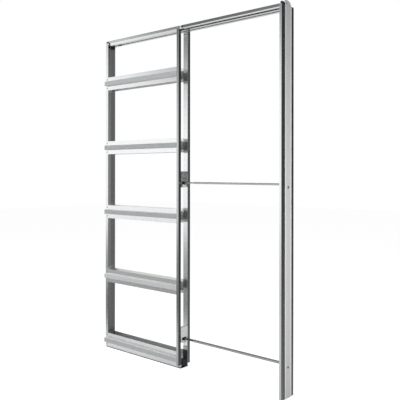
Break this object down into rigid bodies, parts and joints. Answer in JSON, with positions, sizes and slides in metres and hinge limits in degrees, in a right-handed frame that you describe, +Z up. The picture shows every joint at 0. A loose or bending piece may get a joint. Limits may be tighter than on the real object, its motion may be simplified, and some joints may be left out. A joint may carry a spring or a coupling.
{
  "type": "pocket door frame",
  "caption": "Galvanised steel pocket door frame: railed pocket, roller track header, strike jamb and spacer bars across the passage.",
  "frame": {"origin": "middle of the frame's box in plan, at floor level", "axes": "+X along the wall from the pocket to the passage, +Y through the wall from front to rear, +Z up"},
  "size_m": [1.4556, 0.119, 2.1075],
  "materials": {
    "galvanised_steel": "galvanised, satin",
    "track_aluminium": "mill finish",
    "bar_steel": "zinc plated",
    "grey_plastic": "moulded, matte",
    "pale_plastic": "moulded, matte",
    "black_plastic": "moulded, matte"
  },
  "bodies": {
    "root": {"back_post": "galvanised_steel", "mouth_post_front": "galvanised_steel", "mouth_post_rear": "galvanised_steel", "header_pocket": "galvanised_steel", "header_passage": "galvanised_steel", "track": "track_aluminium", "jamb_channel": "galvanised_steel", "jamb_strip": "galvanised_steel", "floor_bracket": "galvanised_steel", "guide_block": "black_plastic", "door_stop": "black_plastic", "post_tie_front": "galvanised_steel", "post_tie_rear": "galvanised_steel", "rail_front_1": "galvanised_steel", "rail_rear_1": "galvanised_steel", "rail_front_2": "galvanised_steel", "rail_rear_2": "galvanised_steel", "rail_front_3": "galvanised_steel", "rail_rear_3": "galvanised_steel", "rail_front_4": "galvanised_steel", "rail_rear_4": "galvanised_steel", "rail_front_5": "galvanised_steel", "rail_rear_5": "galvanised_steel", "middle_socket": "grey_plastic", "middle_rod": "bar_steel", "middle_bar": "bar_steel", "middle_end_plate": "bar_steel", "low_socket": "pale_plastic", "low_rod": "bar_steel", "low_bar": "bar_steel", "low_end_plate": "bar_steel"}
  },
  "joints": []
}
